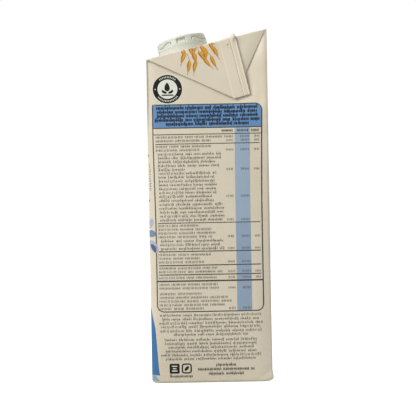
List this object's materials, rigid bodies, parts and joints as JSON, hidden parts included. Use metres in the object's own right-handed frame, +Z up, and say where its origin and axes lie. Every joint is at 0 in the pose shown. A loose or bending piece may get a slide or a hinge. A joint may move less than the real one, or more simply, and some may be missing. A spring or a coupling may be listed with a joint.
{
  "type": "oat milk carton",
  "caption": "Shut slanted-top drink carton of folded board with side ears, a sealed top fin and a round screw cap.",
  "frame": {"origin": "middle of the base, on the surface the carton stands on", "axes": "+Z up; -Y the front panel, under the closure; +Y the rear panel, where the slanted top is highest; +X and -X the side panels with the folded-down ears"},
  "size_m": [0.0764, 0.0716, 0.213],
  "materials": {
    "laminated_board": "cream-coloured liquid packaging board under a clear film, offset printed, satin",
    "cap_plastic": "injection moulded polyethylene, off-white with a grey cast, fine matt",
    "spout_plastic": "injection moulded polyethylene, natural white"
  },
  "bodies": {
    "root": {"carton": "laminated_board", "spout": "spout_plastic", "tamper_band": "cap_plastic", "cap": "cap_plastic"}
  },
  "joints": []
}
